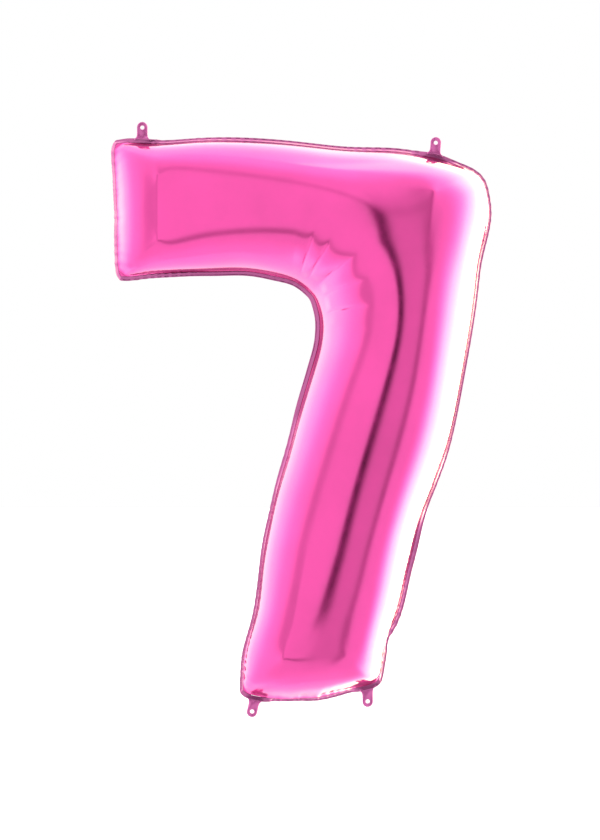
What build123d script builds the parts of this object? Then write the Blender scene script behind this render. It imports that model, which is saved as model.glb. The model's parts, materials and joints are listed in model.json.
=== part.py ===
from build123d import *
import math
import os

# A foil number balloon: two sheets of metallised film, cut as a figure seven,
# welded to each other round the edge and blown up through a flat valve.
# Frame: the weld lies in the XZ plane, the front bulges towards -Y, +Z is up.

# ---- driving sizes, mm -------------------------------------------------------
WALL = 1.2            # film thickness as modelled
FLANGE_T = 0.8        # both sheets together in the welded border
FLANGE_W = 8.0        # border outside the weld line
FLANGE_LAP = 2.5      # border that reaches in under the film's rim
END_ROUND = 55.0      # length over which each closed end rounds up to full depth
ROWS = 96             # sections along the figure
COLS = 24             # points across a section

TAB_W = 17.0          # hanging tab: width
TAB_LEN = 33.0        # from its root to the end of the rounded tip
TAB_HOLE_R = 3.25     # punched hole
TAB_HOLE_AT = 24.0    # hole centre from the root
TAB_T = 0.8           # both sheets together
ROOT_GAP = 0.3        # free gap between the tab's round root and the border

VALVE_W = 15.0        # valve strips inside the filling neck's mouth
VALVE_LEN = 120.0
VALVE_T = 0.2
VALVE_PLAY = 0.02     # half the gap between the two strips

# The figure is drawn about a point near its middle; the part's origin is the
# centre of its box, this far from it in x and z.
ORIGIN = (3.0, 0.8)

# Cross-sections of the blown-up figure, from the free end of the bar, round the
# elbow, to the foot: inner edge x, z, outer edge x, z, and half the depth.
RUNGS = [
    (-292, 231, -292, 439, 72),
    (-235, 232, -235, 442, 80),
    (-165, 236, -160, 441, 90),
    (-95, 235, -60, 438, 99),
    (-50, 226, 45, 434, 107),
    (-20, 216, 130, 427, 113),
    (1, 205, 213, 417, 119),
    (11, 196, 252, 400, 122),
    (19, 185, 287, 382, 124),
    (24, 175, 297, 364, 124),
    (29, 160, 294, 325, 123),
    (30, 126, 282, 225, 120),
    (20, 85, 266, 110, 118),
    (6, 38, 245, -5, 116),
    (-14, -25, 222, -88, 114),
    (-40, -130, 194, -175, 110),
    (-60, -220, 170, -250, 105),
    (-75, -310, 149, -320, 97),
    (-86, -380, 132, -375, 86),
    (-91, -415, 124, -402, 80),
    (-84, -442, 118, -422, 76),
]

# Tabs: root on the border's outer edge, x, z, and the way the tab points, degrees
# from +X towards +Z.
TABS = {
    "top_left_tab": (-255.0, 449.0, 90.0),
    "top_right_tab": (218.0, 424.5, 86.0),
    "bottom_right_tab": (109.5, -431.0, 270.0),
    "filling_neck": (-72.0, -448.0, 257.0),
}


def between(a, b, c, d, f):
    """Smooth curve from b to c, with a and d as the neighbours, at 0 <= f <= 1."""
    return 0.5 * (
        2 * b
        + (c - a) * f
        + (2 * a - 5 * b + 4 * c - d) * f**2
        + (3 * b - a - 3 * c + d) * f**3
    )


def section(t):
    """The five numbers of RUNGS at any place t, counted in rungs."""
    k = min(int(t), len(RUNGS) - 2)
    a = RUNGS[max(k - 1, 0)]
    d = RUNGS[min(k + 2, len(RUNGS) - 1)]
    return [between(*four, t - k) for four in zip(a, RUNGS[k], RUNGS[k + 1], d)]


def spacing(count):
    """Numbers from 0 to 1, closer together towards both ends."""
    return [(1 - math.cos(math.pi * i / count)) / 2 for i in range(count + 1)]


def edge_point(t, side, out):
    """A point on one long edge of the figure, moved `out` mm outwards."""
    step = 0.05
    s0 = section(max(t - step, 0))
    s1 = section(min(t + step, len(RUNGS) - 1))
    s = section(t)
    i = 0 if side == "inner" else 2
    dx, dz = s1[i] - s0[i], s1[i + 1] - s0[i + 1]
    size = math.hypot(dx, dz)
    turn = 1 if side == "outer" else -1
    return s[i] - turn * dz / size * out, s[i + 1] + turn * dx / size * out


def end_gap(which, inset):
    """How far along, in rungs, an end moves when it is set in by `inset` mm."""
    a, b = (RUNGS[0], RUNGS[1]) if which == "first" else (RUNGS[-1], RUNGS[-2])
    length = math.hypot((a[0] + a[2] - b[0] - b[2]) / 2, (a[1] + a[3] - b[1] - b[3]) / 2)
    return inset / length


def end_distance(t, inset):
    """Distance in mm from the nearer closed end to the section at t."""
    mid = [((s[0] + s[2]) / 2, (s[1] + s[3]) / 2) for s in (section(t), RUNGS[0], RUNGS[-1])]
    near = min(math.dist(mid[0], mid[1]), math.dist(mid[0], mid[2]))
    return max(near - inset, 0.0)


def skin(inset, plane_y):
    """One bulging surface, with its rim on y = plane_y, set in by `inset` mm."""
    t0 = end_gap("first", inset)
    t1 = len(RUNGS) - 1 - end_gap("last", inset)
    rows = []
    for w in spacing(ROWS):
        t = t0 + (t1 - t0) * w
        xi, zi, xo, zo, depth = section(t)
        width = math.hypot(xo - xi, zo - zi)
        ux, uz = (xo - xi) / width, (zo - zi) / width
        rise = 1.0
        if w in (0.0, 1.0):
            rise = 0.0
        elif end_distance(t, inset) < END_ROUND:
            rise = math.sqrt(1 - (1 - end_distance(t, inset) / END_ROUND) ** 2)
        row = []
        for i, v in enumerate(spacing(COLS)):
            across = inset + (width - 2 * inset) * v
            rim = i in (0, COLS)
            y = 0.0 if rim else (depth - inset) * rise * math.sin(math.pi * i / COLS)
            row.append(Vector(xi + ux * across, plane_y - y, zi + uz * across))
        rows.append(row)
    return Face.make_surface_from_array_of_points(rows, tol=0.05, min_deg=3, max_deg=5)


def foil():
    """The front film: two bulging surfaces joined by a flat rim on the border."""
    outside = skin(0.0, -FLANGE_T / 2)
    inside = skin(WALL, -FLANGE_T / 2)
    rim = Face(Wire(outside.edges()), [Wire(inside.edges())])
    return Solid(Shell([outside, inside, rim]))


def border_outline(out):
    """The closed edge of the figure, `out` mm outside the weld line."""
    last = len(RUNGS) - 1
    places = [i / 2 for i in range(2 * last + 1)]
    inner = [edge_point(t, "inner", out) for t in places]
    outer = [edge_point(t, "outer", out) for t in places]
    grow0, grow1 = end_gap("first", out), end_gap("last", out)
    for rail in (inner, outer):
        x0, z0 = rail[0][0] - rail[1][0], rail[0][1] - rail[1][1]
        x1, z1 = rail[-1][0] - rail[-2][0], rail[-1][1] - rail[-2][1]
        rail[0] = (rail[0][0] + 2 * grow0 * x0, rail[0][1] + 2 * grow0 * z0)
        rail[-1] = (rail[-1][0] + 2 * grow1 * x1, rail[-1][1] + 2 * grow1 * z1)
    inner = [Vector(x, 0, z) for x, z in inner]
    outer = [Vector(x, 0, z) for x, z in outer]
    return Wire([
        Edge.make_spline(inner),
        Edge.make_line(inner[-1], outer[-1]),
        Edge.make_spline(outer),
        Edge.make_line(outer[0], inner[0]),
    ])


def tab_place(name):
    """The tab's own plane: X along the tab, Y to its left, Z to the back."""
    x, z, angle = TABS[name]
    a = math.radians(angle)
    return Plane(origin=(x, 0, z), x_dir=(math.cos(a), 0, math.sin(a)), z_dir=(0, 1, 0))


def tab():
    """A tab along +X from a round root at the origin, lying about z = 0."""
    tip = TAB_W / 2
    shape = Pos(TAB_LEN - tip, 0, 0) * Cylinder(tip, TAB_T)
    shape += Pos((TAB_LEN - tip) / 2, 0, 0) * Box(TAB_LEN - tip, TAB_W, TAB_T)
    shape += Rot(90, 0, 0) * Cylinder(TAB_T / 2, TAB_W)
    shape -= Pos(TAB_HOLE_AT, 0, 0) * Cylinder(TAB_HOLE_R, 3 * TAB_T)
    return shape


def root_pocket(name):
    """The room that a tab's root takes out of the border's edge."""
    reach = ROOT_GAP + TAB_T / 2
    pocket = Pos(20 - reach, 0, 0) * Box(40, TAB_W + 2 * ROOT_GAP, 4)
    return tab_place(name) * pocket


def valve_strip():
    """One strip of the valve, from the neck's mouth up into the balloon."""
    slit = Pos(-VALVE_LEN / 2 - 1.5, 0, 0) * Box(VALVE_LEN, VALVE_W, VALVE_T)
    return Pos(0, 0, -VALVE_PLAY - VALVE_T / 2) * slit


os.makedirs("parts", exist_ok=True)

front = foil()
back = mirror(front, about=Plane.XZ)

border = Face(border_outline(FLANGE_W), [border_outline(-FLANGE_LAP)])
border = extrude(border, amount=FLANGE_T / 2, dir=(0, 1, 0), both=True)
for name in TABS:
    border -= root_pocket(name)
# the valve strips pass through the border in an unwelded slit
slit_room = Box(40, VALVE_W + 0.4, 2 * (VALVE_PLAY + VALVE_T) + 0.04)
border -= tab_place("filling_neck") * slit_room

pieces = {"front_foil": front, "back_foil": back, "seam_flange": border}
for name in ("top_left_tab", "top_right_tab", "bottom_right_tab"):
    pieces[name] = tab_place(name) * tab()

# the neck is left open between its two films, so each film is a piece
neck = tab_place("filling_neck")
front_side = Pos(0, 0, -20) * Box(400, 400, 40)
pieces["filling_neck_front_film"] = neck * (tab() & front_side)
pieces["filling_neck_back_film"] = neck * (tab() - front_side)
pieces["valve_front_strip"] = neck * valve_strip()
pieces["valve_back_strip"] = neck * Rot(180, 0, 0) * valve_strip()

for node, shape in pieces.items():
    export_step(Pos(-ORIGIN[0], 0, -ORIGIN[1]) * shape, f"parts/{node}.step")
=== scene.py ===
# A foil number balloon, figure seven. Two film sheets are cut flat, welded round
# the edge and blown up by a small membrane simulation; puckers, wrinkles, the
# welded border, the hanging tabs and the filling neck are built onto its result.
import json
import math

import bpy
import numpy as np
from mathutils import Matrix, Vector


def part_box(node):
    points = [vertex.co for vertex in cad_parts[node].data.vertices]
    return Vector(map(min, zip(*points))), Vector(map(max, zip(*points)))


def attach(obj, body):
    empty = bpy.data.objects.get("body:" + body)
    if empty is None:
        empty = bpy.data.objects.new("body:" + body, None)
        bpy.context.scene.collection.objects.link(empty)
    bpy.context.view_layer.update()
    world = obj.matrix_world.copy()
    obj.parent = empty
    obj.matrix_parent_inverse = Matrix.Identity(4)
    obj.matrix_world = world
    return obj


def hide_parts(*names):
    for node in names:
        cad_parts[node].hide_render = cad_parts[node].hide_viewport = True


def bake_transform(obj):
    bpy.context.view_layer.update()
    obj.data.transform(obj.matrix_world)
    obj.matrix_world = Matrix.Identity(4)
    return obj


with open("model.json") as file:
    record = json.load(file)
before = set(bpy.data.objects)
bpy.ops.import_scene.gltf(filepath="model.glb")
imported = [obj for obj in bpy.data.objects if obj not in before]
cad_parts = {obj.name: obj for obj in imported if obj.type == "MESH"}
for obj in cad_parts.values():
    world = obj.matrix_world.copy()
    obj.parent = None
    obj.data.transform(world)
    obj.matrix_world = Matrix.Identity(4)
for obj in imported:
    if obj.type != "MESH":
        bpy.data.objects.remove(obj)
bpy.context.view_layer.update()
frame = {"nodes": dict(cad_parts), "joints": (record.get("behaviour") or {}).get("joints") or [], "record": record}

SEED = 7
MM = 0.001

# ---- the flat cut -------------------------------------------------------------
# Weld line of the flat, empty balloon in mm, as pairs of points on the two long
# edges: inner x, z, outer x, z, from the bar's end, round the elbow, to the foot.
CUT = np.array([
    (-334, 300, -283, 528),
    (-268, 270, -207, 528),
    (-195, 242, -120, 523),
    (-140, 222, -22, 507),
    (-100, 203, 90, 481),
    (-68, 187, 212, 448),
    (-54, 174, 270, 421),
    (-44, 160, 322, 381),
    (-40, 142, 336, 342),
    (-40, 105, 334, 216),
    (-51, 49, 315, 41),
    (-61, -4, 299, -58),
    (-73, -78, 280, -136),
    (-87, -168, 262, -201),
    (-94, -258, 246, -269),
    (-92, -347, 227, -341),
    (-87, -437, 198, -414),
    (-71, -496, 172, -469),
], float)
END_BULGE = (18.0, 36.0)      # how far the cut bows out at its two ends, mm
END_SHARE = 0.19              # share of the figure's length that each bow fades over
BORDER = 8.0                  # welded border outside the weld line, mm


def curve_at(points, places, x):
    """Smooth curve through points that stand at places, read at x."""
    slope = np.gradient(points, places, axis=0)
    k = np.clip(np.searchsorted(places, x) - 1, 0, len(places) - 2)
    h = (places[k + 1] - places[k])[:, None]
    t = ((x - places[k])[:, None]) / h
    return (
        (2 * t**3 - 3 * t**2 + 1) * points[k]
        + (t**3 - 2 * t**2 + t) * h * slope[k]
        + (3 * t**2 - 2 * t**3) * points[k + 1]
        + (t**3 - t**2) * h * slope[k + 1]
    )


def moved(edge, sign, distance):
    """A grid edge moved sideways by distance, to its left if sign is 1."""
    along = np.gradient(edge, axis=0)
    along /= np.linalg.norm(along, axis=1)[:, None]
    return edge + sign * distance * np.stack([-along[:, 1], along[:, 0]], 1)


def flat_grid(nu, nv, rings):
    """The flat cut as a grid, with `rings` rows of border outside the weld."""
    step = np.linalg.norm(np.diff(CUT.reshape(-1, 2, 2), axis=0), axis=2).mean(1)
    places = np.concatenate([[0], np.cumsum(step)])
    rail = curve_at(CUT, places, np.linspace(0, places[-1], nu))
    v = np.linspace(0, 1, nv)[None, :, None]
    grid = rail[:, None, :2] * (1 - v) + rail[:, None, 2:] * v
    reach = int(nu * END_SHARE)
    fall = (1 - np.arange(reach) / reach)[:, None, None] ** 2
    bow = np.sin(np.pi * v[0, :, 0])[None, :, None] ** 0.7
    out0 = rail[0].reshape(2, 2).mean(0) - rail[3].reshape(2, 2).mean(0)
    out1 = rail[-1].reshape(2, 2).mean(0) - rail[-4].reshape(2, 2).mean(0)
    grid[:reach] += fall * bow * END_BULGE[0] * out0 / np.linalg.norm(out0)
    grid[-reach:] += fall[::-1] * bow * END_BULGE[1] * out1 / np.linalg.norm(out1)
    steps = [BORDER * k / rings for k in range(1, rings + 1)]
    low = [moved(grid[:, 0], -1, d) for d in steps[::-1]]
    high = [moved(grid[:, -1], 1, d) for d in steps]
    grid = np.concatenate([np.stack(low, 1), grid, np.stack(high, 1)], 1)
    low = [moved(grid[0], 1, d) for d in steps[::-1]]
    high = [moved(grid[-1], -1, d) for d in steps]
    return np.concatenate([np.stack(low), grid, np.stack(high)], 0)


# ---- blowing it up ------------------------------------------------------------
def pull(a, b, length, slack, strength):
    """Moves the ends of many threads so that none is stretched; a short thread
    resists only by `slack` of its strength, as thin film buckles at once."""
    d = b - a
    now = np.sqrt(np.einsum("...k,...k->...", d, d)) + 1e-9
    c = (now - length) / now
    c = np.where(c > 0, c, c * slack)
    d *= (0.5 * strength * c)[..., None]
    a += d
    b -= d


def face_normals(p):
    """Area-weighted normals of both layers; the front layer's point to -Y."""
    du, dv = np.zeros_like(p), np.zeros_like(p)
    du[:, 1:-1] = p[:, 2:] - p[:, :-2]
    du[:, 0], du[:, -1] = p[:, 1] - p[:, 0], p[:, -1] - p[:, -2]
    dv[:, :, 1:-1] = p[:, :, 2:] - p[:, :, :-2]
    dv[:, :, 0] = p[:, :, 1] - p[:, :, 0]
    dv[:, :, -1] = p[:, :, -1] - p[:, :, -2]
    n = np.cross(du, dv) * 0.25
    if n[0, ..., 1].sum() > 0:
        n *= -1
    n[1] *= -1
    return n


def stiffen(p, amount):
    """Evens out bends, along both directions of the grid."""
    for axis in (1, 2):
        q = np.moveaxis(p, axis, 0)
        bend = np.zeros_like(q)
        bend[1:-1] = q[:-2] + q[2:] - 2 * q[1:-1]
        move = -2 * bend
        move[:-1] += bend[1:]
        move[1:] += bend[:-1]
        q -= amount * move


def inflate(p, flat, rings, steps, gas, slack, bending, damping):
    """Blows up two layers of grid p that are welded along the border."""
    flat = flat.astype(np.float32)
    p = p.astype(np.float32)
    welded = np.ones(flat.shape[:2], bool)
    welded[rings + 1:-rings - 1, rings + 1:-rings - 1] = False
    wi, wj = np.nonzero(welded)
    length = lambda a, b: np.linalg.norm(a - b, axis=-1).astype(np.float32)
    lu, lv = length(flat[1:], flat[:-1]), length(flat[:, 1:], flat[:, :-1])
    ld, le = length(flat[1:, 1:], flat[:-1, :-1]), length(flat[1:, :-1], flat[:-1, 1:])
    cell = float(np.median(lu))
    before = p.copy()
    for _ in range(steps):
        speed = (p - before) * damping
        before[...] = p
        p += speed + face_normals(p) * (gas / cell**2)
        for o in (0, 1):
            n = (p.shape[1] - o) // 2 * 2
            pull(p[:, o:o + n:2], p[:, o + 1:o + n:2], lu[o:o + n:2], slack, 1.0)
        for o in (0, 1):
            n = (p.shape[2] - o) // 2 * 2
            pull(p[:, :, o:o + n:2], p[:, :, o + 1:o + n:2], lv[:, o:o + n:2], slack, 1.0)
        for o in (0, 1):
            n = (p.shape[1] - o) // 2 * 2
            a, b = slice(o, o + n, 2), slice(o + 1, o + n, 2)
            pull(p[:, a, :-1], p[:, b, 1:], ld[a], slack, 0.5)
            pull(p[:, a, 1:], p[:, b, :-1], le[a], slack, 0.5)
        stiffen(p, bending)
        p[:, wi, wj] = p[:, wi, wj].mean(0)
    return p


def cubic(a, x, axis):
    """Reads array a at places x along an axis, by smooth interpolation."""
    q = np.moveaxis(a, axis, 0)
    m = len(q)
    i = np.clip(np.floor(x).astype(int), 0, m - 2)
    t = (x - i).reshape((-1,) + (1,) * (q.ndim - 1))
    at = lambda k: q[np.clip(k, 0, m - 1)]
    p0, p1, p2, p3 = at(i - 1), at(i), at(i + 1), at(i + 2)
    r = 0.5 * (
        2 * p1
        + (p2 - p0) * t
        + (2 * p0 - 5 * p1 + 4 * p2 - p3) * t**2
        + (3 * p1 - p0 - 3 * p2 + p3) * t**3
    )
    return np.moveaxis(r, 0, axis)


def blown_up():
    """Both layers, 2 x rows x columns x 3, in mm, and the flat cut's grid."""
    levels = [(64, 20, 1, 500, 0.05, 0.004, 0.985), (128, 40, 2, 500, 0.012, 0.004, 0.985)]
    levels.append((256, 80, 3, 300, 0.003, 0.01, 0.97))
    rng = np.random.default_rng(SEED)
    p = None
    for nu, nv, rings, steps, gas, bending, damping in levels:
        flat = flat_grid(nu, nv, rings)
        if p is None:
            p = np.zeros((2,) + flat.shape[:2] + (3,))
            p[..., 0], p[..., 2] = flat[..., 0], flat[..., 1]
            p += rng.normal(0, 0.05, p.shape)
        else:
            p = cubic(p, np.linspace(0, p.shape[1] - 1, flat.shape[0]), 1)
            p = cubic(p, np.linspace(0, p.shape[2] - 1, flat.shape[1]), 2)
        p = inflate(p, flat, rings, steps, gas, 0.05, bending, damping)
    return p.astype(float), flat, rings


layers, flat, rings = blown_up()

# finer grid: FU x FV cells inside the weld, BR rows of border
FU, FV, BR = (512, 128, 6)


def finer(a, axis, cells):
    """Finer grid with the weld line kept on a grid line."""
    m = a.shape[axis]
    inside = np.linspace(rings, m - 1 - rings, cells + 1)
    edge = np.linspace(0, rings, BR + 1)[:-1]
    return cubic(a, np.concatenate([edge, inside, m - 1 - edge[::-1]]), axis)


layers = finer(finer(layers, 1, FU), 2, FV)
flat = finer(finer(flat, 0, FU), 1, FV)

# centre it on the CAD's front foil
lo, hi = (np.array(c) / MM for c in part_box("front_foil"))
weld = layers[0, BR:-BR, BR:-BR]
for k in (0, 2):
    layers[..., k] += (lo[k] + hi[k]) / 2 - (weld[..., k].min() + weld[..., k].max()) / 2


# ---- folds, wrinkles and puckers ------------------------------------------------
def wander(n, step, seed):
    """Smooth random numbers between -1 and 1, changing over about `step` places."""
    knots = np.random.default_rng(seed).uniform(-1, 1, n // step + 4)
    return np.clip(cubic(knots, np.linspace(1, len(knots) - 2, n), 0), -1, 1)


def normals_of(p):
    n = face_normals(p)
    return n / (np.linalg.norm(n, axis=-1)[..., None] + 1e-12)


def smooth(t):
    t = np.clip(t, 0, 1)
    return t * t * (3 - 2 * t)


# Folds where the end slopes meet the long ones: points x, z in mm seen from the
# front, each with the height of the crest, then how far the crest's foot reaches
# to the right and to the left of the path, and how round its top is.
FOLDS = (
    (((-228, 389, 4.6), (-228, 290, 4.6)), 20.0, 75.0, 1.0),
    (((-284, 428, 0.2), (-228, 389, 2.0)), 14.0, 14.0, 1.0),
    (((-284, 246, 0.2), (-228, 290, 2.0)), 14.0, 14.0, 1.0),
    (((12, -195, 0.0), (-11, -326, 3.4), (-26, -378, 3.2)), 18.0, 50.0, 1.0),
    (((-26, -380, 3.2), (72, -380, 0.4)), 18.0, 50.0, 7.0),
    (((-78, -430, 0.2), (-26, -378, 1.6)), 13.0, 13.0, 2.0),
    (((112, -424, 0.2), (72, -378, 1.0)), 13.0, 13.0, 2.0),
    (((198, 270, 0.0), (210, 364, 1.2)), 12.0, 30.0, 1.0),
    (((284, 400, 0.0), (210, 364, 1.2)), 13.0, 13.0, 1.0),
)


def fold(layers, path, right, left, top):
    """Raises a crest with a sharp top along a path, on both layers."""
    normal = normals_of(layers)
    for k in (0, 1):
        p = layers[k]
        height = np.zeros(p.shape[:2])
        for (x0, z0, h0), (x1, z1, h1) in zip(path[:-1], path[1:]):
            run = np.array([x1 - x0, z1 - z0], float)
            rel = p[..., [0, 2]] - (x0, z0)
            t = np.clip((rel @ run) / (run @ run), 0, 1)
            gap = np.linalg.norm(rel - t[..., None] * run, axis=-1)
            side = (run[0] * rel[..., 1] - run[1] * rel[..., 0]) / np.linalg.norm(run)
            side /= gap + 1e-6
            reach = right + (left - right) * smooth(0.5 + 0.5 * side)
            crest = (h0 + (h1 - h0) * t) * np.exp(-(np.sqrt(gap**2 + top**2) - top) / reach)
            height = np.maximum(height, crest)
        p += normal[k] * height[..., None]


# Creases that fan out from the inside of the elbow: grid row, and how the row
# changes per mm away from the weld.
CREASES = (
    (140, -0.14), (154, -0.10), (168, -0.05), (188, 0.03), (206, 0.10), (228, 0.14), (248, 0.16),
)
CREASE_FROM, CREASE_MIDDLE, CREASE_TO = 36, 80, 146      # mm away from the weld
ROW_GAP = 1.5                 # mm between two grid rows there


def elbow_wrinkles(layers, flat):
    """The gathered film between two creases arches up, on both faces."""
    away = np.linalg.norm(flat - flat[:, BR:BR + 1], axis=2)
    row = np.arange(flat.shape[0])[:, None] - BR
    normal = normals_of(layers)
    for k in (0, 1):
        rng = np.random.default_rng(SEED + 20 + k)
        total = np.zeros(away.shape)
        for i, (left, right) in enumerate(zip(CREASES[:-1], CREASES[1:])):
            start = left[0] + left[1] * (away - CREASE_MIDDLE)
            stop = right[0] + right[1] * (away - CREASE_MIDDLE)
            t = np.clip((row - start) / (stop - start), 0, 1)
            t = t ** rng.uniform(0.75, 1.4)
            edge = 0.35 if i in (0, len(CREASES) - 2) else 1.0
            height = edge * rng.uniform(1.3, 2.0)
            near = CREASE_FROM + rng.uniform(-6, 6)
            far = CREASE_TO + rng.uniform(-8, 10)
            along = smooth((away - near) / 26) * smooth((far - away) / 36)
            total += 4 * t * (1 - t) * height * along
            groove = np.exp(-np.abs(row - stop) * ROW_GAP / 1.6)
            if i < len(CREASES) - 2:
                total -= rng.uniform(0.6, 1.0) * groove * along
        layers[k] += normal[k] * total[..., None]


def slack_along(line_now, line_flat, spread):
    """How much shorter than its cut an edge has become, smoothed."""
    now = np.linalg.norm(np.diff(line_now, axis=0), axis=1)
    cut = np.linalg.norm(np.diff(line_flat, axis=0), axis=1)
    s = np.clip(1 - now / cut, 0, 0.12)
    s = np.concatenate([s[:1], s])
    kernel = np.hanning(spread * 2 + 1)
    return np.convolve(np.pad(s, spread, "edge"), kernel / kernel.sum(), "valid")


# How each side of the welded border hangs: knots of (place along the side, lean
# backward in degrees, strength of its ripples, strength of the film's puckers).
SIDES = {
    "inner": (
        (0.0, 34, 0.6, 0.4), (0.08, 27, 0.35, 0.3), (0.30, 26, 0.35, 0.3), (0.42, 10, 0.4, 0.4),
        (0.55, 40, 0.6, 0.4), (0.70, 62, 1.0, 0.5), (1.0, 62, 1.2, 0.5),
    ),
    "outer": (
        (0.0, 46, 0.5, 0.3), (0.36, 46, 0.5, 0.3), (0.44, 62, 0.7, 0.4), (0.79, 62, 1.0, 0.4),
        (0.83, 30, 1.0, 0.4), (0.91, 30, 0.8, 0.4), (0.97, 60, 0.6, 0.3), (1.0, 60, 0.6, 0.3),
    ),
    "bar_end": ((0.0, 52, 1.0, 0.5), (1.0, 52, 1.0, 0.5)),
    "foot": ((0.0, 62, 0.5, 0.15), (1.0, 62, 0.5, 0.15)),
}
# How far the cut rim leans backward on each side, degrees.
RIM_TURN = {"inner": -1.5, "outer": 2.0, "bar_end": 48.0, "foot": 2.0}
RIM_FROM, RIM_OVER = 4.4, 1.4     # mm from the weld where that turn starts, and its width
TAB_FLAT, TAB_FADE = 12, 14       # mm from a tab's root: border flat, then its lean returns
BORDER_THICK, TAB_THICK, NECK_THICK = 0.35, 0.3, 0.18     # mm
TABS = ("top_left_tab", "top_right_tab", "bottom_right_tab", "filling_neck")


def joint(name):
    return next(j for j in frame["joints"] if j["name"] == name)


ROOTS = np.array([joint(name + "_fold")["pos_m"] for name in TABS]) / MM


def finish_side(layers, flat, side, seed):
    """Ripples that one side draws up as the balloon fills: small puckers in the
    film, and a border that leans, ripples and turns up at its cut rim."""
    rows = side in ("inner", "outer")
    p = layers if rows else np.swapaxes(layers, 1, 2)
    f = flat if rows else np.swapaxes(flat, 0, 1)
    if side in ("outer", "foot"):
        p, f = p[:, :, ::-1], f[:, ::-1]
    edge, cut = p[0, :, BR].copy(), f[:, BR]
    n = len(edge)
    run = np.concatenate([[0], np.cumsum(np.linalg.norm(np.diff(cut, axis=0), axis=1))])
    knots = np.array(SIDES[side]).T
    lean, ripple, gather = (np.interp(run / run[-1], knots[0], k) for k in knots[1:])
    slack = slack_along(edge, cut, 12)
    pitch = 15.0 + 5.0 * wander(n, 14, seed)
    phase = 2 * np.pi * np.cumsum(np.gradient(run) / pitch)
    depth = pitch / np.pi * np.sqrt(slack + 0.002)
    depth *= 0.55 + 0.45 * wander(n, 9, seed + 1)
    ends = np.clip(np.minimum(run, run[-1] - run) / 22.0, 0, 1)
    tab = np.linalg.norm(edge[:, None, [0, 2]] - ROOTS[None, :, [0, 2]], axis=2).min(1)
    free = smooth((tab - TAB_FLAT) / TAB_FADE)
    depth *= ends * free
    across = np.gradient(edge[:, [0, 2]], axis=0)
    across /= np.linalg.norm(across, axis=1)[:, None]
    out = np.stack([-across[:, 1], np.zeros(n), across[:, 0]], 1)
    out *= -np.sign((out * (p[0, :, BR + 8] - edge)).sum())
    # the film inside the weld
    inward = np.linalg.norm(f - f[:, BR:BR + 1], axis=2)[:, BR:]
    sharp = (np.abs(np.sin(phase / 2)) - 0.64) * 1.6
    wave = (0.5 * np.cos(phase) - 0.5 * sharp)[:, None]
    size = 0.75 * (depth * gather)[:, None] * wave * np.exp(-inward / (1.1 * pitch)[:, None])
    swing = (depth * ripple * np.sin(phase))[:, None]
    normal = normals_of(p)
    for k in (0, 1):
        flatter = np.exp(-inward / 6.0)[..., None]
        push = out[:, None] * flatter + normal[k][:, BR:] * (1 - flatter)
        p[k][:, BR:] += push * size[..., None]
        p[k][:, BR:, 1] += swing * np.exp(-inward / 9.0)
    # the border outside it
    edge = p[0, :, BR].copy()
    rim = RIM_TURN[side] + 5.0 * wander(n, 16, seed + 2)
    lean = lean + np.where(lean < 30, 5.0, 10.0) * wander(n, 22, seed + 3)
    even = np.ones(13) / 13
    lean, rim = (np.convolve(np.pad(a * free, 6, "edge"), even, "valid") for a in (lean, rim))
    step = BORDER / BR
    place = edge
    for j in range(1, BR + 1):
        s = (j - 0.5) * step
        angle = np.radians(lean + (rim - lean) * smooth((s - RIM_FROM) / RIM_OVER))
        place = place + step * (out * np.cos(angle)[:, None] + np.sin(angle)[:, None] * (0, 1, 0))
        here = place.copy()
        here[:, 1] += swing[:, 0] * 0.11 * j * step
        here[:, 1] *= 1 - (1 - free) * min(1.0, 1.4 * j / BR)
        p[:, :, BR - j] = here


for path, right, left, top in FOLDS:
    fold(layers, path, right, left, top)
elbow_wrinkles(layers, flat)
for number, side in enumerate(SIDES):
    finish_side(layers, flat, side, SEED + 31 * number)
# the border's corners, rounded
for i in (slice(0, BR), slice(-BR, None)):
    for j in (slice(0, BR), slice(-BR, None)):
        a, b = (BR if i.start == 0 else -BR - 1), (BR if j.start == 0 else -BR - 1)
        corner = layers[:, a:a + 1, b:b + 1]
        one, two = layers[:, i, b:b + 1] - corner, layers[:, a:a + 1, j] - corner
        wide = np.maximum(np.linalg.norm(one, axis=-1), np.linalg.norm(two, axis=-1))
        away = one + two
        layers[:, i, j] = corner + away * (wide / np.linalg.norm(away, axis=-1))[..., None]


# ---- meshes -------------------------------------------------------------------
def mesh_piece(name, points, faces, body=None):
    """A smooth-shaded mesh from points in mm."""
    data = bpy.data.meshes.new(name)
    data.from_pydata((np.asarray(points) * MM).tolist(), [], [tuple(f) for f in faces])
    data.polygons.foreach_set("use_smooth", [True] * len(data.polygons))
    data.update()
    piece = bpy.data.objects.new(name, data)
    bpy.context.scene.collection.objects.link(piece)
    if body:
        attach(piece, body)
    return piece


def plate_piece(name, points, faces, thickness, body=None):
    """A thin closed plate about a middle surface, smooth but for its cut rim."""
    points, faces = np.asarray(points), np.asarray(faces)
    corner = points[faces]
    n = np.cross(corner[:, 2] - corner[:, 0], corner[:, 3] - corner[:, 1])
    normal = np.zeros_like(points)
    for i in range(4):
        np.add.at(normal, faces[:, i], n)
    half = normal / np.linalg.norm(normal, axis=1)[:, None] * thickness / 2
    count = len(points)
    edges = {(int(f[i - 1]), int(f[i])) for f in faces for i in range(4)}
    cut = sorted(e for e in edges if e[::-1] not in edges)
    rim = [(b, a, a + count, b + count) for a, b in cut]
    both_sides = np.concatenate([faces, faces[:, ::-1] + count, rim])
    piece = mesh_piece(name, np.concatenate([points + half, points - half]), both_sides, body)
    piece.data.polygons.foreach_set("use_smooth", [True] * (2 * len(faces)) + [False] * len(rim))
    return piece


def quads(index):
    a, b = index[:-1, :-1], index[1:, :-1]
    c, d = index[1:, 1:], index[:-1, 1:]
    return np.stack([a, b, c, d], -1).reshape(-1, 4)


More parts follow.
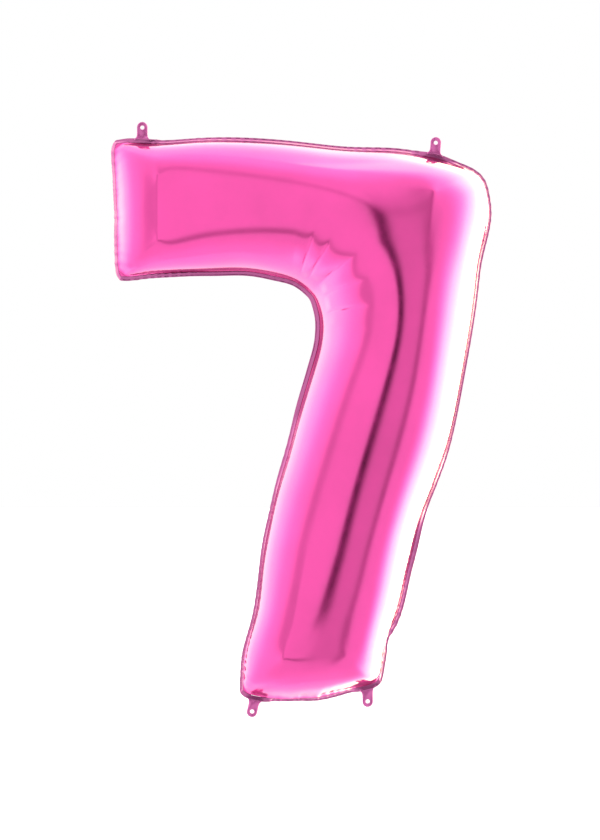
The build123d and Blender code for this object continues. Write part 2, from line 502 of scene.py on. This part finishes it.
def foil_piece(name, layer, flip):
    body = layers[layer][BR:-BR, BR:-BR]
    index = np.arange(body.shape[0] * body.shape[1]).reshape(body.shape[:2])
    faces = quads(index)
    if flip:
        faces = faces[:, ::-1]
    return mesh_piece(name, body.reshape(-1, 3), faces, "envelope")


front = foil_piece("front_film", 0, False)
back = foil_piece("back_film", 1, True)
for piece, node in ((front, "front_foil"), (back, "back_foil")):
    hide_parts(node)


def border_piece():
    """The welded border: the outer frame of the grid, as a thin plate."""
    middle = layers.mean(0)
    nu, nv = middle.shape[:2]
    index = np.arange(nu * nv).reshape(nu, nv)
    strips = (
        index[:BR + 1, :],
        index[-BR - 1:, :],
        index[BR:-BR, :BR + 1],
        index[BR:-BR, -BR - 1:],
    )
    faces = np.concatenate([quads(s) for s in strips])
    used, faces = np.unique(faces, return_inverse=True)
    faces = faces.reshape(-1, 4)
    points = middle.reshape(-1, 3)[used]
    return plate_piece("seam_border", points, faces, BORDER_THICK, "envelope")


border = border_piece()
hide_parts("seam_flange")

# ---- hanging tabs and filling neck --------------------------------------------
# All in mm from the fold at the tab's root.
TAB_HALF = 8.5                # half the width
TAB_TIP = 33.0
TAB_SQUARE = 15.0             # end of the tab's straight rows, where the hole's ring starts
TAB_LAP = 2.5                 # how far the root reaches into the border
TAB_FLARE = 4.5               # how much wider each side is at the root
HOLE_AT = 24.0
HOLE_R = 3.25
HOLES = {
    "top_left_tab": "top_left_hole",
    "top_right_tab": "top_right_hole",
    "bottom_right_tab": "bottom_right_hole",
    "filling_neck": "filling_neck_hole",
}


def tab_axes(name):
    """Root point, direction along the tab and direction across it."""
    j = joint(name + "_fold")
    root = np.array(j["pos_m"]) / MM
    across = np.array(j["axis"], float)
    along = np.cross(across, (0, 1, 0))
    hole = next(m for m in frame["record"]["mounts"] if m["name"] == HOLES[name])
    if np.dot(np.array(hole["pos_m"]) / MM - root, along) < 0:
        along *= -1
    return root, along, across


def tab_outline(angle):
    """Distance from the hole's centre to the tab's outline, at an angle."""
    c, s = math.cos(angle), math.sin(angle)
    cap = TAB_TIP - TAB_HALF - HOLE_AT
    b = c * cap
    reach = b + math.sqrt(b * b + TAB_HALF**2 - cap**2)
    if reach * c < cap:
        reach = TAB_HALF / max(abs(s), 1e-9)
    if c < 0:
        reach = min(reach, (HOLE_AT - TAB_SQUARE) / -c)
    return reach


def rim_near(root, along, across):
    """The border's outer rim beside a tab: places across, and how far along."""
    middle = layers.mean(0)
    line = np.concatenate([middle[:, 0], middle[:, -1], middle[0], middle[-1]]) - root
    a, w = line @ along, line @ across
    near = (np.abs(w) < 30) & (np.abs(a) < 25)
    order = np.argsort(w[near])
    return w[near][order], a[near][order]


def tab_sheet(rim_w, rim_a):
    """Points (along, across) and faces of a flat tab with its punched hole; its
    root widens and lies in the border's thickness."""
    n = 14
    points, faces = [], []
    rows = np.linspace(0, 1, 25) ** 1.3
    side = np.linspace(-1, 1, n + 1)
    start = np.interp(side * (TAB_HALF + 4), rim_w, rim_a) - TAB_LAP
    for f in rows:
        for w, first in zip(side, start):
            a = first + (TAB_SQUARE - first) * f
            flare = TAB_FLARE * math.exp(-max(a - first - 2.0, 0) / 2.0)
            points.append((a, w * (TAB_HALF + flare)))
    index = np.arange(len(points)).reshape(len(rows), n + 1)
    faces += [tuple(f) for f in quads(index)]
    last = index[-1]
    # a ring of faces between the hole and the outline, starting on that last row
    corner = [math.atan2(points[i][1], TAB_SQUARE - HOLE_AT) for i in last]
    corner = [a % (2 * math.pi) for a in corner]
    start, end = corner[0], corner[-1]
    rest = np.linspace(0, 1, 44)[1:-1]
    sweep = (end - start) % (2 * math.pi)
    if sweep < math.pi:
        angles = [start - (2 * math.pi - sweep) * f for f in rest]
    else:
        angles = [start + sweep * f for f in rest]
    ring = [(a, None) for a in angles]
    loop = [(corner[i], last[i]) for i in range(n, -1, -1)] + ring
    levels = 6
    table = []
    for a, known in loop:
        column = []
        outer = tab_outline(a)
        for k in range(levels + 1):
            if k == levels and known is not None:
                column.append(int(known))
                continue
            r = HOLE_R + (outer - HOLE_R) * (k / levels) ** 1.2
            column.append(len(points))
            points.append((HOLE_AT + r * math.cos(a), r * math.sin(a)))
        table.append(column)
    for i in range(len(table)):
        a, b = table[i], table[(i + 1) % len(table)]
        for k in range(levels):
            faces.append((a[k], a[k + 1], b[k + 1], b[k]))
    return np.array(points), faces


def tab_piece(name, body, side, thickness):
    """One tab, or one film of the neck: side -1 in front, 1 behind, 0 both."""
    root, along, across = tab_axes(body)
    rim_w, rim_a = rim_near(root, along, across)
    flat_points, faces = tab_sheet(rim_w, rim_a)
    a, w = flat_points[:, 0], flat_points[:, 1]
    rim = np.clip(1 - np.abs(w) / TAB_HALF, 0, 1)
    seed = SEED + 50 + len(name)
    beyond = np.clip(a - np.interp(w, rim_w, rim_a), 0, None)
    ripple = 0.22 * np.sin(a / 3.1 + seed) * np.clip(beyond / 8, 0, 1)
    ripple += 0.12 * np.sin(w / 2.0 + a / 6.0 + seed)
    near_hole = np.hypot(a - HOLE_AT, w) - HOLE_R
    ripple *= np.clip(near_hole / 3, 0, 1)
    puff = side * (0.14 + 0.75 * np.clip(rim * 2.2, 0, 1) ** 0.8 * np.clip(beyond / 6, 0, 1)
                   * np.clip(near_hole / 5, 0, 1)) if side else 0.0
    twist = math.tan(math.radians(6.0)) * w * np.clip(beyond / 9, 0, 1)
    y = (ripple + puff + twist) * np.clip(beyond / 3, 0, 1)
    points = root + a[:, None] * along + w[:, None] * across
    points[:, 1] += y
    piece = plate_piece(name, points, faces, thickness)
    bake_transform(piece)
    return piece


tabs = []
for body in ("top_left_tab", "top_right_tab", "bottom_right_tab"):
    piece = tab_piece(body + "_film", body, 0, TAB_THICK)
    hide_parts(body)
    tabs.append(piece)
for name, side in (("front", -1), ("back", 1)):
    piece = tab_piece(f"neck_{name}_film", "filling_neck", side, NECK_THICK)
    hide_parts(f"filling_neck_{name}_film")
    tabs.append(piece)


# ---- materials ----------------------------------------------------------------
def shader(name):
    material = bpy.data.materials.new(name)
    material.use_nodes = True
    tree = material.node_tree
    return material, tree, tree.nodes["Principled BSDF"]


def noise(tree, place, scale, detail=3.0, roughness=0.5, stretch=None):
    node = tree.nodes.new("ShaderNodeTexNoise")
    node.inputs["Scale"].default_value = scale
    node.inputs["Detail"].default_value = detail
    node.inputs["Roughness"].default_value = roughness
    if stretch:
        mapping = tree.nodes.new("ShaderNodeMapping")
        mapping.inputs["Scale"].default_value = stretch
        tree.links.new(place, mapping.inputs["Vector"])
        place = mapping.outputs["Vector"]
    tree.links.new(place, node.inputs["Vector"])
    return node.outputs["Fac"]


def ramp(tree, value, stops):
    node = tree.nodes.new("ShaderNodeValToRGB")
    element = node.color_ramp.elements
    while len(element) < len(stops):
        element.new(0.5)
    for e, (at, colour) in zip(element, stops):
        e.position = at
        e.color = (*colour, 1.0)
    tree.links.new(value, node.inputs["Fac"])
    return node.outputs["Color"]


def spread(tree, value, low, high):
    node = tree.nodes.new("ShaderNodeMapRange")
    node.inputs["From Min"].default_value = 0.25
    node.inputs["From Max"].default_value = 0.75
    node.inputs["To Min"].default_value = low
    node.inputs["To Max"].default_value = high
    tree.links.new(value, node.inputs["Value"])
    return node.outputs["Result"]


def bumps(tree, chain):
    """Several bump heights on one another: (height, strength, distance in m)."""
    normal = None
    for height, strength, distance in chain:
        node = tree.nodes.new("ShaderNodeBump")
        node.inputs["Strength"].default_value = strength
        node.inputs["Distance"].default_value = distance
        tree.links.new(height, node.inputs["Height"])
        if normal is not None:
            tree.links.new(normal, node.inputs["Normal"])
        normal = node.outputs["Normal"]
    return normal


def film(name, pink, rough, crinkle, coat):
    """Metallised film under a transparent colour print."""
    material, tree, out = shader(name)
    place = tree.nodes.new("ShaderNodeTexCoord").outputs["Object"]
    tint = noise(tree, place, 9.0, 4.0, 0.55)
    darker = tuple(c * 0.93 for c in pink)
    lighter = tuple(min(1.0, c * 1.05) for c in pink)
    colour = ramp(tree, tint, [(0.3, darker), (0.7, lighter)])
    tree.links.new(colour, out.inputs["Base Color"])
    smudge = noise(tree, place, 28.0, 5.0, 0.6)
    tree.links.new(spread(tree, smudge, rough * 0.8, rough * 1.25), out.inputs["Roughness"])
    out.inputs["Metallic"].default_value = 1.0
    out.inputs["Coat Weight"].default_value = coat
    out.inputs["Coat Roughness"].default_value = 0.09
    out.inputs["Coat IOR"].default_value = 1.5
    wave = noise(tree, place, 14.0, 2.0, 0.4)
    fine = noise(tree, place, 420.0, 3.0, 0.6)
    normal = bumps(tree, [(wave, 0.10, 0.0009 * crinkle), (fine, 0.12, 0.00006 * crinkle)])
    tree.links.new(normal, out.inputs["Normal"])
    return material


PINK = (0.955, 0.066, 0.405)
materials = {
    "foil": film("foil", PINK, 0.17, 1.0, 1.0),
    "seam": film("seam", (0.55, 0.11, 0.33), 0.24, 2.0, 1.0),
    "tab": film("tab", (0.90, 0.17, 0.54), 0.28, 2.0, 1.0),
}


def clear_film():
    """Thin milky polyethylene of the valve."""
    material, tree, out = shader("valve_film")
    place = tree.nodes.new("ShaderNodeTexCoord").outputs["Object"]
    cloud = noise(tree, place, 60.0, 4.0, 0.6)
    colour = ramp(tree, cloud, [(0.3, (0.80, 0.83, 0.84)), (0.7, (0.90, 0.92, 0.92))])
    tree.links.new(colour, out.inputs["Base Color"])
    tree.links.new(spread(tree, cloud, 0.32, 0.48), out.inputs["Roughness"])
    fine = noise(tree, place, 300.0, 3.0, 0.6)
    tree.links.new(bumps(tree, [(fine, 0.2, 0.0001)]), out.inputs["Normal"])
    return material


materials["valve_film"] = clear_film()
for piece in (front, back):
    piece.data.materials.append(materials["foil"])
border.data.materials.append(materials["seam"])
for piece in tabs:
    piece.data.materials.append(materials["tab"])
for node in ("valve_front_strip", "valve_back_strip"):
    valve = frame["nodes"][node]
    for slot in valve.material_slots:
        slot.material = materials["valve_film"]

# ---- studio: light from all round, floor, camera ------------------------------
world = bpy.data.worlds.new("studio")
bpy.context.scene.world = world
world.use_nodes = True
sky = world.node_tree
background = sky.nodes["Background"]


def put(value, socket):
    if isinstance(value, (int, float)):
        socket.default_value = value
    else:
        sky.links.new(value, socket)


def calc(operation, *values):
    node = sky.nodes.new("ShaderNodeMath")
    node.operation = operation
    for value, socket in zip(values, node.inputs):
        put(value, socket)
    return node.outputs[0]


def rise(value, low, high):
    """0 at low and before it, 1 at high and beyond, smooth between."""
    node = sky.nodes.new("ShaderNodeMapRange")
    node.interpolation_type = "SMOOTHSTEP"
    put(value, node.inputs["Value"])
    put(low, node.inputs["From Min"])
    put(high, node.inputs["From Max"])
    return node.outputs["Result"]


def both(*masks):
    result = masks[0]
    for m in masks[1:]:
        result = calc("MULTIPLY", result, m)
    return result


def fade(mask):
    return calc("SUBTRACT", 1.0, mask)


def toward(level, goal, mask):
    """level moved to goal where mask is 1."""
    return calc("MULTIPLY_ADD", calc("SUBTRACT", goal, level), mask, level)


split = sky.nodes.new("ShaderNodeSeparateXYZ")
direction = sky.nodes.new("ShaderNodeTexCoord").outputs["Generated"]
sky.links.new(direction, split.inputs[0])
dx, dy, dz = split.outputs
DEGREES = 57.2958             # in a radian
turn = calc("MULTIPLY", calc("ARCTAN2", dx, calc("MULTIPLY", dy, -1.0)), DEGREES)
lift = calc("MULTIPLY", calc("ARCSINE", dz), DEGREES)
tall = calc("ABSOLUTE", lift)

level = 1.04
# left of the front panel the light grows toward the side window
level = toward(level, 1.35, rise(turn, -56.0, -76.0))
level = toward(level, 2.0, rise(turn, -74.0, -112.0))
level = toward(level, 1.3, rise(turn, -125.0, -165.0))
# dim front of the studio right of the camera, between the groove and the seam
seam_at = calc("MULTIPLY_ADD", rise(lift, -12.0, 10.0), 12.0, 43.0)
seam_at = calc("MULTIPLY_ADD", rise(lift, -14.0, -30.0), -10.0, seam_at)
from_seam = calc("SUBTRACT", turn, seam_at)
groove_lift = calc("MINIMUM", calc("MAXIMUM", calc("ADD", lift, 3.0), 0.0), 40.0)
groove_at = calc("MULTIPLY_ADD", groove_lift, 0.43, -3.0)
from_groove = calc("SUBTRACT", turn, groove_at)
dim = both(rise(from_groove, -1.0, 6.0), fade(rise(from_seam, -1.0, 3.0)))
dim = both(dim, fade(rise(lift, 42.0, 60.0)), fade(rise(lift, -46.0, -66.0)))
level = toward(level, 0.81, dim)
# lighter overhead, behind, and under the object
level = toward(level, 1.55, rise(lift, 60.0, 84.0))
behind = rise(calc("ABSOLUTE", turn), 95.0, 150.0)
level = toward(level, 1.75, both(behind, rise(lift, 8.0, 40.0)))
high_right = both(rise(turn, 60.0, 125.0), fade(rise(turn, 150.0, 175.0)), rise(lift, 30.0, 50.0))
level = toward(level, 2.6, high_right)
level = toward(level, 1.25, rise(lift, -60.0, -82.0))
level = toward(level, 1.5, both(behind, rise(lift, -25.0, -50.0)))
# dark frame of the front panel: its top, then its rounded left side and bottom
top_at = calc("MULTIPLY_ADD", calc("MAXIMUM", calc("ADD", turn, 18.0), 0.0), -0.5, 54.0)
top_line = both(fade(rise(calc("ABSOLUTE", calc("SUBTRACT", lift, top_at)), 1.0, 7.0)),
                rise(turn, -62.0, -44.0), fade(rise(turn, 8.0, 14.0)))
level = toward(level, 0.80, top_line)
wide = calc("POWER", calc("ABSOLUTE", calc("DIVIDE", turn, 57.0)), 4.0)
high = calc("POWER", calc("ABSOLUTE", calc("DIVIDE", lift, 50.0)), 4.0)
round_box = calc("POWER", calc("ADD", wide, high), 0.25)
outside = calc("MULTIPLY", calc("SUBTRACT", round_box, 1.0), 52.0)
low_line = both(fade(rise(outside, 1.5, 7.0)), rise(outside, -11.0, -1.0),
                rise(lift, 44.0, 30.0), fade(rise(turn, -12.0, 10.0)))
low_level = calc("MULTIPLY_ADD", rise(lift, -36.0, -50.0), -0.27, 0.78)
level = toward(level, low_level, low_line)
# darker lines at the top and the right of the dim part
shelf = both(fade(rise(calc("ABSOLUTE", calc("SUBTRACT", lift, 39.0)), 1.0, 5.0)),
             rise(turn, 14.0, 30.0), fade(rise(turn, 54.0, 58.0)))
level = toward(level, 0.66, shelf)
seam_line = both(fade(rise(calc("ABSOLUTE", calc("ADD", from_seam, 3.0)), 1.5, 7.5)),
                 fade(rise(lift, 50.0, 60.0)), fade(rise(lift, -52.0, -64.0)))
level = toward(level, 0.45, seam_line)
# the gap between two panels: a dark groove with one sharp side
gap = both(fade(rise(from_groove, 2.0, 13.0)), rise(from_groove, -6.0, -1.5),
           rise(lift, -32.0, -16.0), fade(rise(lift, 34.0, 46.0)))
level = toward(level, 0.04, gap)
# the big window on the right
window = both(rise(turn, 62.0, 112.0), fade(rise(turn, 152.0, 179.0)),
              fade(rise(tall, 36.0, 66.0)))
level = toward(level, 5.5, window)

# straight into the camera the studio is plain white
rays = sky.nodes.new("ShaderNodeLightPath")
level = toward(level, 1.0, rays.outputs["Is Camera Ray"])
sky.links.new(level, background.inputs["Strength"])
# in reflections the strongest light bleaches the pink print
tint = sky.nodes.new("ShaderNodeMix")
tint.data_type = "RGBA"
tint.inputs["A"].default_value = (1.0, 1.0, 1.0, 1.0)
tint.inputs["B"].default_value = (1.0, 1.5, 0.68, 1.0)
reflected = rays.outputs["Is Glossy Ray"]
sky.links.new(both(reflected, rise(level, 1.2, 3.4)), tint.inputs["Factor"])
sky.links.new(tint.outputs["Result"], background.inputs["Color"])

floor_data = bpy.data.meshes.new("floor")
FLOOR_Z = -0.86               # m, well under the hanging balloon
FLOOR = 30                    # half its width, m
corners = [(-FLOOR, -FLOOR), (FLOOR, -FLOOR), (FLOOR, FLOOR), (-FLOOR, FLOOR)]
floor_data.from_pydata([(x, y, FLOOR_Z) for x, y in corners], [], [(0, 1, 2, 3)])
floor = bpy.data.objects.new("floor", floor_data)
bpy.context.scene.collection.objects.link(floor)
material, tree, out = shader("pale_floor")
place = tree.nodes.new("ShaderNodeTexCoord").outputs["Object"]
grain = noise(tree, place, 6.0, 4.0, 0.6)
shade = ramp(tree, grain, [(0.3, (0.70, 0.70, 0.70)), (0.7, (0.73, 0.73, 0.73))])
tree.links.new(shade, out.inputs["Base Color"])
out.inputs["Roughness"].default_value = 0.7
floor_data.materials.append(material)
floor.visible_glossy = False

camera_data = bpy.data.cameras.new("camera")
camera = bpy.data.objects.new("camera", camera_data)
bpy.context.scene.collection.objects.link(camera)
camera_data.sensor_width = 36
camera_data.lens = 159
camera.location = (-0.003, -6.0, -0.0008)
camera.rotation_euler = (math.pi / 2, 0, 0)
bpy.context.scene.camera = camera
bpy.context.scene.view_settings.view_transform = "Standard"
